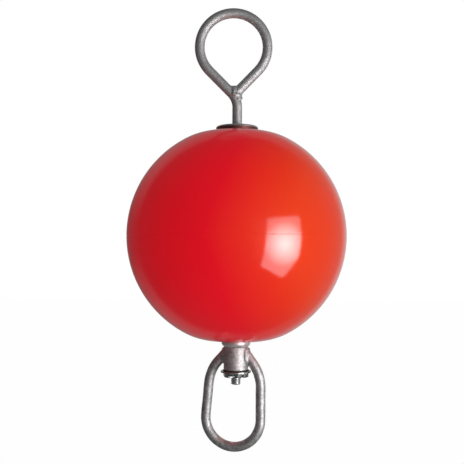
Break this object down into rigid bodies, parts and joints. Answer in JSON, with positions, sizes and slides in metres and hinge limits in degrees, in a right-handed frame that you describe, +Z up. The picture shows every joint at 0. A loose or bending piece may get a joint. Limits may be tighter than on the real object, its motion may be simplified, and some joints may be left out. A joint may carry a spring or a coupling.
{
  "type": "mooring buoy",
  "caption": "Round red float on a galvanised through-bar with a lifting eye on top and a swivelling mooring link below.",
  "frame": {"origin": "centre of the float, on the bar's axis, where the water level is taken when the buoy carries its mooring", "axes": "+Z up along the bar to the eye, the eye lies in the XZ plane, -Y is the front"},
  "size_m": [0.3999, 0.4, 0.8131],
  "materials": {
    "float_plastic": "glossy, smooth moulded",
    "galvanised_bar": "satin hot-dip zinc, mottled",
    "galvanised_fittings": "satin hot-dip zinc",
    "weld_metal": "rippled weld bead under zinc",
    "ring_plastic": "matt black",
    "nut_steel": "satin zinc",
    "pin_steel": "bright zinc wire"
  },
  "bodies": {
    "buoy": {"float_shell": "float_plastic", "through_rod": "galvanised_bar", "eye_weld": "weld_metal", "top_washer": "galvanised_fittings", "lower_collar": "galvanised_fittings", "thrust_ring": "ring_plastic", "lower_washer": "galvanised_fittings", "slotted_nut": "nut_steel", "split_pin": "pin_steel"},
    "swivel": {"swivel_sleeve": "galvanised_fittings", "swivel_link": "galvanised_bar", "link_weld_front": "weld_metal", "link_weld_back": "weld_metal"}
  },
  "joints": [
    {"name": "swivel_turn", "type": "hinge", "parent": "buoy", "child": "swivel", "pos_m": [0, 0, -0.2234], "axis": [0, 0, 1], "continuous": true}
  ]
}
